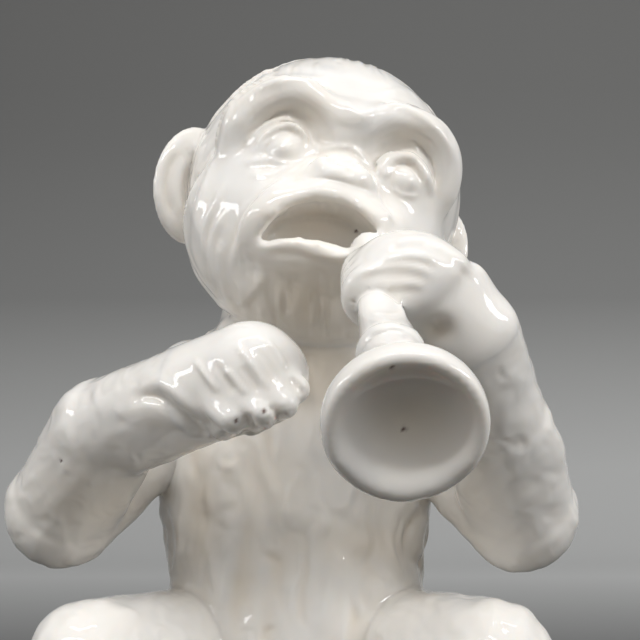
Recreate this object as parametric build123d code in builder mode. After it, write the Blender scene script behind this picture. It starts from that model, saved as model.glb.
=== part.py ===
"""A seated monkey blowing a short straight horn, in white glazed slip-cast ceramic."""

from build123d import *
import math
import os

os.makedirs("parts", exist_ok=True)

# Millimetres. The figure sits on the plane z = 0 and faces -Y.
# The origin is on that plane, under the middle of the trunk, and +X is the figure's own left.

# Trunk
trunk_height = 122.0
chest_width = 80.0
chest_depth = 60.0
neck_width = 44.0
neck_depth = 51.0
cast_wall = 4.5
vent_width = 9.0
cut_overrun = 4.5

# Head and face
head_width = 78.0
head_back_tilt = 3.7
head_side_tilt = 11.7
head_turn = 6.1
ear_height = 35.0
ear_thickness = 7.0
eye_width = 10.0
lid_thickness = 2.6
brow_thickness = 8.6
mouth_width = 34.0
mouth_depth = 17.0
nostril_width = 2.4
nostril_depth = 2.4
head_wall = 9.0

# Arms and hands
shoulder_width = 30.0
elbow_width = 32.0
forearm_width = 28.5
wrist_width = 25.0
upper_arm_length = 54.5
forearm_length = 70.0
hand_length = 36.0
finger_width = 7.0
grip_finger_width = 4.6
grip_finger_count = 4

# Horn
horn_length = 104.0
bell_width = 29.2
bell_length = 32.0
bell_dish_depth = 6.5
bell_lip_thickness = 2.9
bell_lip_length = 3.6
horn_tube_width = 12.0
horn_throat_width = 7.5
collar_width = 14.0
collar_length = 4.5
mouthpiece_width = 10.0

# Legs and feet
thigh_length = 54.0
shin_length = 36.0
hip_width = 46.0
knee_width = 33.0
ankle_width = 21.0
foot_length = 44.0
foot_width = 23.0
foot_height = 17.0

# Shares of the trunk at its rings, from the seat to the neck:
# height of trunk_height, half width of chest_width, half depth and forward place of chest_depth
trunk_ring_shares = (
    (0.00, 0.51, 0.60, 0.02),
    (0.12, 0.55, 0.66, 0.03),
    (0.36, 0.46, 0.56, 0.05),
    (0.58, 0.50, 0.52, 0.04),
    (0.80, 0.47, 0.49, 0.07),
    (0.92, 0.38, 0.45, 0.16),
)
neck_forward_share = 0.24
vent_back_share = 0.25

# Places on the head are shares of head_width: to its left, forward and up from its middle
head_over_neck_shares = (0.108, 0.299, 0.449)
skull_shares = (0.00, -0.05, 0.03)
jaw_shares = (-0.02, 0.12, -0.18)
jaw_size_shares = (0.465, 0.34, 0.39)
muzzle_shares = (0.00, 0.26, -0.24)
muzzle_size_shares = (0.33, 0.29, 0.215)
eye_shares = (0.200, 0.345, 0.008)
gaze_shares = (0.22, 1.00, -0.10)
socket_shares = (0.205, 0.545, 0.030)
socket_size_share = 0.195
brow_gaze_shares = (0.22, 1.00, -0.42)
brow_shares = (0.195, 0.325, 0.040)
brow_ring_share = 0.185
brow_bridge_shares = (0.00, 0.385, 0.160)
brow_bridge_size_shares = (0.130, 0.085, 0.080)
nose_shares = (0.00, 0.425, -0.055)
nose_size_shares = (0.110, 0.085, 0.065)
nostril_shares = (0.040, 0.530, -0.065)
mouth_corner_shares = (0.22, 0.41, -0.335)
upper_lip_shares = (0.00, 0.60, -0.160)
lower_lip_shares = (0.00, 0.60, -0.300)
left_ear_shares = (0.430, -0.170, -0.090)
right_ear_shares = (0.480, -0.055, -0.050)
mouthpiece_shares = (0.145, 0.469, -0.288)

# Ear: shares of its height
ear_out_share = 0.40
ear_dish_share = 0.66
ear_dish_forward_share = 0.11
ear_turn = 38.0

# Shoulder places are shares of chest_width, chest_depth and trunk_height
shoulder_shares = (0.38, 0.00, 0.85)
horn_upper_arm_shares = (0.571, 0.503, -0.649)
free_upper_arm_shares = (0.604, 0.488, -0.630)

# The elbow, the middle of the forearm and the wrist: shares of forearm_length, to the side,
# forward and up from the elbow, for the arm with the horn and for the free arm
horn_forearm_shares = ((-0.133, 0.323, 0.322), (-0.296, 0.657, 0.627))
free_forearm_shares = ((-0.220, 0.316, 0.293), (-0.599, 0.663, 0.415))

# The next stretch of a limb starts this much thinner than the last one ends
joint_share = 0.96

# Fingers on the horn lie the first share of their width apart, and press into it by the second
finger_pitch_share = 0.9
finger_press_share = 0.2

# The hands: shares of hand_length from the wrist, to the side, forward and up
grip_shares = (-0.578, 0.304, 0.287)
grip_palm_shares = (-0.38, 0.26, 0.35)
grip_palm_size_shares = (0.375, 0.335, 0.30)
free_palm_shares = (-0.34, 0.17, 0.10)
free_palm_size_shares = (0.38, 0.355, 0.33)
knuckle_shares = ((-0.05, 0.30, 0.00), (-0.16, 0.36, 0.08), (-0.29, 0.40, 0.14), (-0.40, 0.41, 0.17))
fingertip_shares = ((-0.25, 0.44, -0.20), (-0.43, 0.49, -0.17), (-0.56, 0.46, -0.10), (-0.63, 0.39, 0.00))
finger_curl_shares = (0.08, -0.22, -0.03)
free_thumb_shares = ((-0.10, 0.00, -0.10), (-0.38, 0.02, -0.15))

# Horn profile: shares of bell_length behind the lip, and of half the bell's width
flare_shares = ((0.26, 0.78), (0.55, 0.54))
dish_shares = (0.60, 0.45)
lip_inside_share = 0.12
lip_front_share = 0.65

# Legs: headings as shares of the length, to the side, forward and up; hip places are shares of
# chest_width, chest_depth and trunk_height
hip_shares = (0.33, 0.10, 0.19)
thigh_heading_shares = (0.43, 0.90, 0.16)
shin_heading_shares = (-0.38, 0.72, -0.56)
ankle_heading_shares = (-0.20, 0.55, -0.80)
foot_heading_shares = (0.20, 0.98, 0.00)
ankle_reach_share = 0.25
toe_place_shares = (-0.33, -0.11, 0.11, 0.33)
toe_reach_share = 0.26
big_toe_shares = (-0.62, 0.20)


def heading(shares, side=1):
    """A direction of length one from its shares to the side, forward and up."""
    return Vector(shares[0] * side, -shares[1], shares[2]).normalized()


def moved(start, shares, length, side=1):
    """The point that lies these shares of a length to the side, forward and up from a point."""
    return start + Vector(shares[0] * side, -shares[1], shares[2]) * length


def limb(start, end, start_width, end_width):
    """A rounded tapering limb between two points, turned about the line that joins them."""
    along = end - start
    reach = along.length
    first = start_width / 2
    last = end_width / 2
    flank_angle = math.degrees(math.acos((first - last) / reach))
    lie = Plane(origin=start, x_dir=along, z_dir=along.cross(Vector(0, 1, 1)))
    with BuildSketch(lie) as outline:
        with BuildLine():
            back = CenterArc((0, 0), first, flank_angle, 180 - flank_angle)
            front = CenterArc((reach, 0), last, 0, flank_angle)
            Line(front @ 1, back @ 0)
            Line(back @ 1, front @ 0)
        make_face()
    revolve(outline.sketch, axis=Axis(start, along))


def egg(frame, place, half_sizes, mode=Mode.ADD):
    """A ball drawn out to three half sizes along the axes of a frame, with its middle at a point."""
    ball = scale(Sphere(1, mode=Mode.PRIVATE), by=half_sizes, mode=Mode.PRIVATE)
    turned = Plane(origin=place, x_dir=frame.x_dir, z_dir=frame.z_dir)
    add(turned.location * ball, mode=mode)


def sized(shares, size):
    """Three half sizes from their shares of one size."""
    return tuple(share * size for share in shares)


# The frame of the head: its middle, with X to its left, -Y out of its face and Z to its crown
neck_middle = Vector(0, 0, trunk_height)
head_middle = moved(neck_middle, head_over_neck_shares, head_width)
head_frame = Plane(
    Location(tuple(head_middle), (-head_back_tilt, head_side_tilt, head_turn), Extrinsic.XYZ)
)


def head_place(shares, side=1):
    """The point of the head at these shares of its width from its middle."""
    left, forward, up = sized(shares, head_width)
    return head_frame.from_local_coords(Vector(left * side, -forward, up))


def head_heading(left, forward, up):
    """A direction given in the head's own frame."""
    return head_frame.from_local_coords(Vector(left, -forward, up)) - head_frame.origin


def gaze_of(side):
    """The direction in which one eye looks."""
    return head_heading(side * gaze_shares[0], gaze_shares[1], gaze_shares[2])


def brow_gaze_of(side):
    """The axis of one brow's ring, which leans forward so that its lower half sinks into the cheek."""
    return head_heading(side * brow_gaze_shares[0], brow_gaze_shares[1], brow_gaze_shares[2])


def trunk_place(shares, side=1):
    """The point at these shares of the chest's width and depth and of the trunk's height."""
    return Vector(side * shares[0] * chest_width, -shares[1] * chest_depth, shares[2] * trunk_height)


# Joints of the arms and the horn's line, all worked out from the trunk and the head
arm_points = {}
for arm, side, upper_shares, path_shares in (
    ("left", 1, horn_upper_arm_shares, horn_forearm_shares),
    ("right", -1, free_upper_arm_shares, free_forearm_shares),
):
    shoulder = trunk_place(shoulder_shares, side)
    elbow = shoulder + heading(upper_shares, side) * upper_arm_length
    arm_points[arm] = [shoulder, elbow]
    arm_points[arm] += [moved(elbow, shares, forearm_length, side) for shares in path_shares]

mouthpiece_point = head_place(mouthpiece_shares)
grip_point = moved(arm_points["left"][3], grip_shares, hand_length)
horn_heading = (grip_point - mouthpiece_point).normalized()
bell_point = mouthpiece_point + horn_heading * horn_length
horn_frame = Plane(origin=bell_point, x_dir=horn_heading.cross(Vector(0, 0, 1)), z_dir=horn_heading)
bell_joint = Plane(origin=bell_point - horn_heading * bell_length, z_dir=horn_heading)


def wrist_plane(arm):
    """The plane across an arm where its hand is joined on, facing the hand."""
    middle, wrist = arm_points[arm][2:4]
    return Plane(origin=wrist, z_dir=wrist - middle)


# Trunk: rings of the seat, belly, chest and shoulders, closed by the round of the neck
def trunk_form(inset, floor):
    """The trunk's outline, drawn in by an inset, from a floor up to the neck."""
    rings = []
    for height, half_width, half_depth, forward in trunk_ring_shares:
        level = max(height * trunk_height, floor)
        with BuildSketch(Plane(origin=(0, -forward * chest_depth, level))) as ring:
            Ellipse(half_width * chest_width - inset, half_depth * chest_depth - inset)
        rings.append(ring.sketch)
    with BuildSketch(Plane(origin=(0, -neck_forward_share * chest_depth, trunk_height))) as top:
        Ellipse(neck_width / 2 - inset, neck_depth / 2 - inset)
    loft(rings + [top.sketch])


with BuildPart() as trunk_block:
    trunk_form(0, 0)

with BuildPart() as trunk_hollow:
    trunk_form(cast_wall, cast_wall)

# Head: skull, jaw, muzzle and neck, before its hollow is taken out
neck_place = Vector(0, -neck_forward_share * chest_depth, trunk_height)
with BuildPart() as head_block:
    limb(neck_place, head_place(skull_shares), neck_width, neck_width)
    split(bisect_by=Plane(origin=neck_middle), keep=Keep.TOP)
    with Locations(head_place(skull_shares)):
        Sphere(head_width / 2)
    egg(head_frame, head_place(jaw_shares), sized(jaw_size_shares, head_width))
    egg(head_frame, head_place(muzzle_shares), sized(muzzle_size_shares, head_width))

# Horn: a turned tube with a collar, and a turned bell with a shallow dish
tube_radius = horn_tube_width / 2
throat_radius = horn_throat_width / 2
collar_radius = collar_width / 2
mouthpiece_radius = mouthpiece_width / 2
bell_radius = bell_width / 2
turning_plane = Plane(origin=bell_point, x_dir=-horn_heading, z_dir=horn_frame.x_dir)
horn_axis = Axis(bell_point, horn_heading)

with BuildPart() as horn_tube:
    with BuildSketch(turning_plane):
        with BuildLine():
            collar_start = (bell_length, tube_radius)
            collar_end = (bell_length + collar_length, tube_radius)
            Line((bell_length, 0), collar_start)
            ThreePointArc(collar_start, (bell_length + collar_length / 2, collar_radius), collar_end)
            mouthpiece_start = (horn_length - mouthpiece_radius, throat_radius)
            Line(collar_end, mouthpiece_start)
            Line(mouthpiece_start, (horn_length, mouthpiece_radius))
            Polyline((horn_length, mouthpiece_radius), (horn_length, 0), (bell_length, 0))
        make_face()
    revolve(axis=horn_axis)

with BuildPart() as horn_bell:
    with BuildSketch(turning_plane):
        with BuildLine():
            pit = (bell_dish_depth, 0)
            lip_inside = (lip_inside_share * bell_lip_length, bell_radius - bell_lip_thickness)
            lip_front = (0, bell_radius - lip_front_share * bell_lip_thickness)
            lip_outside = (bell_lip_length, bell_radius)
            dish_middle = (dish_shares[0] * bell_dish_depth, dish_shares[1] * bell_radius)
            Spline(pit, dish_middle, lip_inside, tangents=((-1, 3), (-1, 1)))
            Spline(lip_inside, lip_front, lip_outside, tangents=((-1, 1), (1, 0)))
            flare = [(back * bell_length, out * bell_radius) for back, out in flare_shares]
            bell_end = (bell_length, tube_radius)
            Spline(lip_outside, *flare, bell_end, tangents=((1, 0), (1, 0)))
            Polyline(bell_end, (bell_length, 0), pit)
        make_face()
    revolve(axis=horn_axis)

# Head: face features on the block, its hollow, and the seats of the horn
with BuildPart() as head:
    add(head_block.part)
    for side in (1, -1):
        with Locations(Plane(origin=head_place(socket_shares, side), z_dir=gaze_of(side)).location):
            Sphere(socket_size_share * head_width, mode=Mode.SUBTRACT)
    for side in (1, -1):
        with Locations(Plane(origin=head_place(brow_shares, side), z_dir=brow_gaze_of(side)).location):
            Torus(brow_ring_share * head_width, brow_thickness / 2)
    egg(head_frame, head_place(brow_bridge_shares), sized(brow_bridge_size_shares, head_width))
    for side in (1, -1):
        eye_place = head_place(eye_shares, side)
        with Locations(Plane(origin=eye_place, z_dir=gaze_of(side)).location):
            Sphere(eye_width / 2)
        with Locations(Plane(origin=eye_place + gaze_of(side) * lid_thickness, z_dir=gaze_of(side)).location):
            Torus((eye_width + lid_thickness) / 2, lid_thickness / 2)
    egg(head_frame, head_place(nose_shares), sized(nose_size_shares, head_width))
    for side in (1, -1):
        with Locations(Plane(origin=head_place(nostril_shares, side), z_dir=head_heading(0, 1, 0)).location):
            Cylinder(nostril_width / 2, 2 * nostril_depth, mode=Mode.SUBTRACT)
    mouth_front = Plane(
        origin=head_place((0, upper_lip_shares[1], 0)), x_dir=head_frame.x_dir, z_dir=head_heading(0, 1, 0)
    )
    with BuildSketch(mouth_front):
        with BuildLine():
            corner_height = mouth_corner_shares[2] * head_width
            corners = ((-mouth_width / 2, corner_height), (mouth_width / 2, corner_height))
            ThreePointArc(corners[0], (0, upper_lip_shares[2] * head_width), corners[1])
            ThreePointArc(corners[1], (0, lower_lip_shares[2] * head_width), corners[0])
        make_face()
    front_reach = (upper_lip_shares[1] - muzzle_shares[1] - muzzle_size_shares[1]) * head_width
    extrude(amount=-(mouth_depth + front_reach), mode=Mode.SUBTRACT)
    with Locations(head_place(skull_shares)):
        Sphere(head_width / 2 - head_wall, mode=Mode.SUBTRACT)
    with Locations(neck_place):
        Cylinder(
            neck_width / 2 - cast_wall,
            head_middle.Z - trunk_height,
            align=(Align.CENTER, Align.CENTER, Align.MIN),
            mode=Mode.SUBTRACT,
        )
    add(horn_tube.part, mode=Mode.SUBTRACT)
head.part.label = "head"
export_step(head.part, "parts/head.step")

with BuildPart() as trunk:
    add(trunk_block.part)
    add(trunk_hollow.part, mode=Mode.SUBTRACT)
    with Locations((0, vent_back_share * chest_depth, 0)):
        Cylinder(vent_width / 2, 2 * (cast_wall + cut_overrun), mode=Mode.SUBTRACT)
    add(head_block.part, mode=Mode.SUBTRACT)
trunk.part.label = "trunk"
export_step(trunk.part, "parts/trunk.step")

# Ears: round cups that stand out from the sides of the head
for name, side, place_shares in (("left_ear", 1, left_ear_shares), ("right_ear", -1, right_ear_shares)):
    turn = math.radians(ear_turn)
    outward = head_heading(side * math.cos(turn), math.sin(turn), 0)
    facing = head_heading(side * -math.sin(turn), math.cos(turn), 0)
    ear_frame = Plane(origin=head_place(place_shares, side), x_dir=outward, z_dir=facing)
    ear_sizes = (ear_out_share * ear_height, ear_height / 2, ear_thickness / 2)
    dish_sizes = (ear_dish_share * ear_sizes[0], ear_dish_share * ear_sizes[1], ear_sizes[2])
    dish_place = ear_frame.origin + facing * ear_dish_forward_share * ear_height
    with BuildPart() as ear:
        egg(ear_frame, ear_frame.origin, ear_sizes)
        egg(ear_frame, dish_place, dish_sizes, mode=Mode.SUBTRACT)
        add(head_block.part, mode=Mode.SUBTRACT)
    ear.part.label = name
    export_step(ear.part, "parts/" + name + ".step")

# Arms: upper arm, and a forearm that bows outward on its way to the wrist
for arm in ("left", "right"):
    shoulder, elbow, middle, wrist = arm_points[arm]
    with BuildPart() as arm_piece:
        limb(shoulder, elbow, shoulder_width, elbow_width)
        limb(elbow, middle, elbow_width * joint_share, forearm_width)
        limb(middle, wrist, forearm_width * joint_share, wrist_width)
        split(bisect_by=wrist_plane(arm), keep=Keep.BOTTOM)
        add(trunk_block.part, mode=Mode.SUBTRACT)
        add(head_block.part, mode=Mode.SUBTRACT)
    arm_piece.part.label = arm + "_arm"
    export_step(arm_piece.part, "parts/" + arm + "_arm.step")

# Hand on the horn: its palm lies over the tube and four fingers go round behind it
left_wrist = arm_points["left"][3]
level_frame = Plane(origin=left_wrist)
grip_from_mouth = (grip_point - mouthpiece_point).length
with BuildPart() as left_hand:
    palm_place = moved(left_wrist, grip_palm_shares, hand_length)
    limb(left_wrist, palm_place, wrist_width, grip_palm_size_shares[2] * hand_length * 2)
    egg(level_frame, palm_place, sized(grip_palm_size_shares, hand_length))
    for finger in range(grip_finger_count):
        from_middle = finger - (grip_finger_count - 1) / 2
        along = from_middle * grip_finger_width * finger_pitch_share
        widening = (tube_radius - throat_radius) * (grip_from_mouth + along) / (horn_length - bell_length)
        ring_radius = throat_radius + widening + (0.5 - finger_press_share) * grip_finger_width
        ring_place = grip_point + horn_heading * along
        with Locations(Plane(origin=ring_place, x_dir=horn_frame.x_dir, z_dir=horn_heading).location):
            Torus(ring_radius, grip_finger_width / 2)
    split(bisect_by=wrist_plane("left"), keep=Keep.TOP)
    add(horn_tube.part, mode=Mode.SUBTRACT)
    add(horn_bell.part, mode=Mode.SUBTRACT)
    add(head_block.part, mode=Mode.SUBTRACT)
left_hand.part.label = "left_hand"
export_step(left_hand.part, "parts/left_hand.step")

# Free hand: a drooping hand whose fingers curl under at their tips
right_wrist = arm_points["right"][3]
with BuildPart() as right_hand:
    palm_place = moved(right_wrist, free_palm_shares, hand_length, -1)
    limb(right_wrist, palm_place, wrist_width, free_palm_size_shares[1] * hand_length * 2)
    egg(level_frame, palm_place, sized(free_palm_size_shares, hand_length))
    for knuckle_place, tip_place in zip(knuckle_shares, fingertip_shares):
        knuckle = moved(right_wrist, knuckle_place, hand_length, -1)
        tip = moved(right_wrist, tip_place, hand_length, -1)
        limb(knuckle, tip, finger_width, finger_width)
        curl_end = moved(tip, finger_curl_shares, hand_length, -1)
        limb(tip, curl_end, finger_width * joint_share, finger_width * joint_share)
    thumb_root, thumb_tip = [moved(right_wrist, shares, hand_length, -1) for shares in free_thumb_shares]
    limb(thumb_root, thumb_tip, finger_width, finger_width)
    split(bisect_by=wrist_plane("right"), keep=Keep.TOP)
right_hand.part.label = "right_hand"
export_step(right_hand.part, "parts/right_hand.step")

horn_tube.part.label = "horn_tube"
export_step(horn_tube.part, "parts/horn_tube.step")
horn_bell.part.label = "horn_bell"
export_step(horn_bell.part, "parts/horn_bell.step")

# Legs: drawn up and out at the knees, with the feet set down in front, cut flat where they rest
for name, side in (("left", 1), ("right", -1)):
    hip = trunk_place(hip_shares, side)
    knee = hip + heading(thigh_heading_shares, side) * thigh_length
    shin_heading = heading(shin_heading_shares, side)
    ankle = knee + shin_heading * shin_length
    ankle_plane = Plane(origin=ankle, z_dir=heading(ankle_heading_shares, side))
    with BuildPart() as leg:
        limb(hip, knee, hip_width, knee_width)
        limb(knee, ankle, knee_width * joint_share, ankle_width)
        split(bisect_by=ankle_plane, keep=Keep.BOTTOM)
        split(bisect_by=Plane.XY, keep=Keep.TOP)
        add(trunk_block.part, mode=Mode.SUBTRACT)
    leg.part.label = name + "_leg"
    export_step(leg.part, "parts/" + name + "_leg.step")

    toward_toes = heading(foot_heading_shares, side)
    across = Vector(0, 0, side).cross(toward_toes)
    heel = Vector(ankle.X, ankle.Y, foot_height - ankle_width / 2)
    ball = Vector(ankle.X, ankle.Y, foot_height / 2) + toward_toes * (foot_length - ankle_width)
    toe_width = foot_width / len(toe_place_shares)
    toe_reach = toe_reach_share * foot_length
    with BuildPart() as foot:
        ankle_end = ankle + shin_heading * ankle_reach_share * ankle_width
        limb(ankle, ankle_end, ankle_width, ankle_width * joint_share)
        limb(heel, ball, ankle_width, foot_height)
        for place_share in toe_place_shares:
            root = Vector(ball.X, ball.Y, toe_width / 2) + across * place_share * foot_width
            limb(root, root + toward_toes * toe_reach, toe_width, toe_width)
        inner_root = heel + toward_toes * toe_reach
        inner_tip = ball + across * big_toe_shares[0] * foot_width + toward_toes * big_toe_shares[1] * toe_reach
        limb(Vector(inner_root.X, inner_root.Y, toe_width / 2), Vector(inner_tip.X, inner_tip.Y, toe_width / 2),
             toe_width, toe_width)
        split(bisect_by=ankle_plane, keep=Keep.TOP)
        split(bisect_by=Plane.XY, keep=Keep.TOP)
        add(leg.part, mode=Mode.SUBTRACT)
    foot.part.label = name + "_foot"
    export_step(foot.part, "parts/" + name + "_foot.step")
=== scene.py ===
# %% [markdown]
# # A glazed monkey that blows a horn
# The real figure is slip-cast in a mould, put together from its parts while the clay is soft, and dipped in
# a thick glossy glaze that rounds every edge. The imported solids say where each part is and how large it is.
# Here they are fused into one soft skin, the face and the fur are carved into it, and the skin is parted
# again at the joints, so that each part of the figure stays a closed piece of its own.

# %% Load the frame
import bmesh
import bpy
import math
import numpy as np
from mathutils import Matrix, Vector
from mathutils.bvhtree import BVHTree


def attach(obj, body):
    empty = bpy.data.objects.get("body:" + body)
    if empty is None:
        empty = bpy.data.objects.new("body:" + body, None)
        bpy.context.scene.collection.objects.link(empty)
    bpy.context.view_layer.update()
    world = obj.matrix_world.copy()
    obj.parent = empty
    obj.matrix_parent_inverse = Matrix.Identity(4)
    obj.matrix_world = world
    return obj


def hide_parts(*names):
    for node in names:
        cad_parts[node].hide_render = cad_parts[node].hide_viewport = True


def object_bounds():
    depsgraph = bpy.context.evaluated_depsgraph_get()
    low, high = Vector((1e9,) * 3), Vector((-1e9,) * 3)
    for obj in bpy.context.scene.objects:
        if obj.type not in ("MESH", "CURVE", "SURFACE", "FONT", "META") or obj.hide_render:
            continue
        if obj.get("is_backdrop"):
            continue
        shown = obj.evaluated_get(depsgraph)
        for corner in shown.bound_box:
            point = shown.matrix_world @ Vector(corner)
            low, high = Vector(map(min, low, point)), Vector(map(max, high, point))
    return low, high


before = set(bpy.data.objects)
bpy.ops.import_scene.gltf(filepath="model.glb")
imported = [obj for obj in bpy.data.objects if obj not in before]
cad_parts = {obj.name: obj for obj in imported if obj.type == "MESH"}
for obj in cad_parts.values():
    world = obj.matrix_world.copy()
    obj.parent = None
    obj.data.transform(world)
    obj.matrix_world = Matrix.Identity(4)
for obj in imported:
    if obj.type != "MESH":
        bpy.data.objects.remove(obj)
cad_low, cad_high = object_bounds()
MM = 0.001
NODES = sorted(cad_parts)
print("solids:", len(NODES), "height in mm:", round((cad_high.z - cad_low.z) / MM, 1))

# %% [markdown]
# ## The camera
# The photograph was taken from close by and a little below the face, looking slightly up. The camera comes
# first, because the carving below is placed by what it sees.

# %% Camera
PHOTO_WIDTH = 640
FOCAL_PIXELS = 1156
SENSOR_WIDTH = 36
CAMERA_PLACE = Vector((7, -348, 82)) * MM
CAMERA_PITCH = math.radians(7)

camera_data = bpy.data.cameras.new("camera")
camera_data.sensor_width = SENSOR_WIDTH
camera_data.lens = SENSOR_WIDTH * FOCAL_PIXELS / PHOTO_WIDTH
camera_data.clip_start = 0.01
camera = bpy.data.objects.new("camera", camera_data)
camera.location = CAMERA_PLACE
camera.rotation_euler = (math.radians(90) + CAMERA_PITCH, 0, 0)
bpy.context.scene.collection.objects.link(camera)
bpy.context.scene.camera = camera
bpy.context.scene.view_settings.view_transform = "Standard"
print("lens in mm:", round(camera_data.lens, 1))

# %% [markdown]
# ## The lamps
# Glaze shows its shape by what it mirrors. Small round lamps would leave dots on it, and one wide lamp would
# wash the carved lines out. So two thin strips hang overhead and draw fine lines along the ridges, and a
# soft upright lamp at each side draws the edges of the limbs.

# %% Lamps
STRIP_SIZE = (0.9, 0.03)
WINDOW_SIZE = (0.5, 0.10)
LAMP_AIM = Vector((0, 0, 0.11))
# place in metres, length and width, power in watts
LAMPS = {
    "front_strip": ((-0.04, -0.60, 0.76), STRIP_SIZE, 3.6),
    "top_strip": ((0.05, -0.20, 0.92), STRIP_SIZE, 0.9),
    "right_window": ((0.72, -0.34, 0.42), WINDOW_SIZE, 2.3),
    "left_window": ((-0.72, -0.30, 0.42), WINDOW_SIZE, 1.2),
}


def area_lamp(name, place, size, power):
    """A rectangular lamp, turned so that it shines on the middle of the figure."""
    data = bpy.data.lights.new(name, "AREA")
    data.shape = "RECTANGLE"
    data.size, data.size_y = size
    data.energy = power
    lamp = bpy.data.objects.new(name, data)
    lamp.location = place
    lamp.rotation_euler = (LAMP_AIM - Vector(place)).to_track_quat("-Z", "Y").to_euler()
    bpy.context.scene.collection.objects.link(lamp)


for name, (lamp_place, size, power) in LAMPS.items():
    area_lamp(name, lamp_place, size, power)
print("lamps:", len(LAMPS))

# %% [markdown]
# ## A small way to write materials
# A material is a tree of nodes. Linked by hand it takes three lines for each sum. Here a sum or a product of
# sockets adds the nodes for it, so a material reads like a formula.

# %% Sockets as values
class Wire:
    """A shader socket that can be added and multiplied."""

    def __init__(self, tree, socket):
        self.tree = tree
        self.socket = socket

    def node(self, kind, settings=None, **sockets):
        """A new node of a type, its settings first, then the values or links of its sockets.

        A socket goes by its label, or by i and its number where several sockets share a label.
        """
        made = self.tree.nodes.new(kind)
        for key, value in (settings or {}).items():
            if key == "stops":
                ramp = made.color_ramp
                while len(ramp.elements) < len(value):
                    ramp.elements.new(0.5)
                for element, (place, tone) in zip(ramp.elements, value):
                    element.position = place
                    element.color = tone if isinstance(tone, tuple) else (tone, tone, tone, 1)
            else:
                setattr(made, key, value)
        for key, value in sockets.items():
            numbered = key[0] == "i" and key[1:].isdigit()
            slot = made.inputs[int(key[1:]) if numbered else key]
            if isinstance(value, Wire):
                self.tree.links.new(value.socket, slot)
            else:
                slot.default_value = value
        return made

    def math(self, operation, other):
        """The wire that comes out of a new Math node."""
        made = self.node("ShaderNodeMath", {"operation": operation}, i0=self, i1=other)
        return Wire(self.tree, made.outputs[0])

    def __add__(self, other):
        return self.math("ADD", other)

    def __mul__(self, other):
        return self.math("MULTIPLY", other)

    __radd__ = __add__
    __rmul__ = __mul__


def new_material(name):
    """A material with its main shader, and a wire that adds nodes to it."""
    material = bpy.data.materials.new(name)
    material.use_nodes = True
    tree = material.node_tree
    return material, tree.nodes["Principled BSDF"], Wire(tree, None)


# %% [markdown]
# ## The floor and the backdrop
# Behind the figure there is only a plain grey that darkens upwards. Two planes would meet in a line between
# the table and the wall, so one sheet of paper is bent up behind the figure: its outline is drawn once, with
# a round bend, and pulled out sideways. The paper is a plain grey with painted shade laid over it: it darkens
# with height and to the left, and the paper in front is painted dark as shade, because the glaze would mirror
# a bright one under the chin and in the horn.

# %% Floor and backdrop
ROOM_WIDTH = 6.0
ROOM_FRONT = -3.0
WALL_BACK = 1.1
WALL_HEIGHT = 3.0
SWEEP_RADIUS = 0.5
SWEEP_STEPS = 24

outline = [(ROOM_FRONT, 0), (WALL_BACK - SWEEP_RADIUS, 0)]
for step in range(1, SWEEP_STEPS + 1):
    turn = math.radians(90) * step / SWEEP_STEPS
    back = WALL_BACK - SWEEP_RADIUS + math.sin(turn) * SWEEP_RADIUS
    outline.append((back, SWEEP_RADIUS - math.cos(turn) * SWEEP_RADIUS))
outline.append((WALL_BACK, WALL_HEIGHT))

room = bmesh.new()
outline_verts = [room.verts.new((-ROOM_WIDTH / 2, back, height)) for back, height in outline]
outline_edges = [room.edges.new(pair) for pair in zip(outline_verts, outline_verts[1:])]
drawn_out = bmesh.ops.extrude_edge_only(room, edges=outline_edges)
moved_verts = [v for v in drawn_out["geom"] if isinstance(v, bmesh.types.BMVert)]
bmesh.ops.translate(room, verts=moved_verts, vec=(ROOM_WIDTH, 0, 0))
room_mesh = bpy.data.meshes.new("floor")
room.to_mesh(room_mesh)
room.free()
room_mesh.shade_smooth()
floor = bpy.data.objects.new("floor", room_mesh)
bpy.context.scene.collection.objects.link(floor)
floor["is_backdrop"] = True
print("floor faces:", len(room_mesh.polygons))

# %% Grey paper with painted shade
FADE_LENGTH = 0.625
FLOOR_START = 0.1
# painted shade: the paper darkens up the wall and to the left, and the floor in front of the figure is
# painted dark
WALL_SHADE_STOPS = [(0.0, 0.44), (0.12, 0.42), (0.45, 0.215), (0.9, 0.185)]
FLOOR_SHADE_STOPS = [(0.0, 0.08), (0.25, 0.14), (0.9, 1.0)]
SIDE_SHADE_SLOPE, SIDE_SHADE_MIDDLE = 0.24, 1.12
PAPER_WHITE = (0.99, 1.0, 0.995, 1)

paper, paper_shader, paper_wire = new_material("grey_paper_painted_shade")
paper_place = Wire(paper.node_tree, paper_wire.node("ShaderNodeTexCoord").outputs["Object"])
paper_axes = paper_wire.node("ShaderNodeSeparateXYZ", Vector=paper_place).outputs
paper_across, paper_back, paper_up = [Wire(paper.node_tree, paper_axes[axis]) for axis in "XYZ"]
wall_ramp = paper_wire.node("ShaderNodeValToRGB", {"stops": WALL_SHADE_STOPS}, Fac=paper_up * (1 / FADE_LENGTH))
floor_ramp = paper_wire.node(
    "ShaderNodeValToRGB", {"stops": FLOOR_SHADE_STOPS}, Fac=paper_back * (1 / FADE_LENGTH) + FLOOR_START
)
wall_shade, floor_shade = [Wire(paper.node_tree, ramp.outputs["Color"]) for ramp in (wall_ramp, floor_ramp)]
# the plain grey times the painted shade of the wall, the floor and the sides
paper_shaded_tone = wall_shade * floor_shade * (paper_across * SIDE_SHADE_SLOPE + SIDE_SHADE_MIDDLE)
paper_tint = paper_wire.node(
    "ShaderNodeMix", {"data_type": "RGBA"}, i0=paper_shaded_tone, i6=(0.0, 0.0, 0.0, 1), i7=PAPER_WHITE
)
paper.node_tree.links.new(paper_tint.outputs[2], paper_shader.inputs["Base Color"])
paper_shader.inputs["Roughness"].default_value = 0.9
room_mesh.materials.append(paper)
print("paper nodes:", len(paper.node_tree.nodes))

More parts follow.
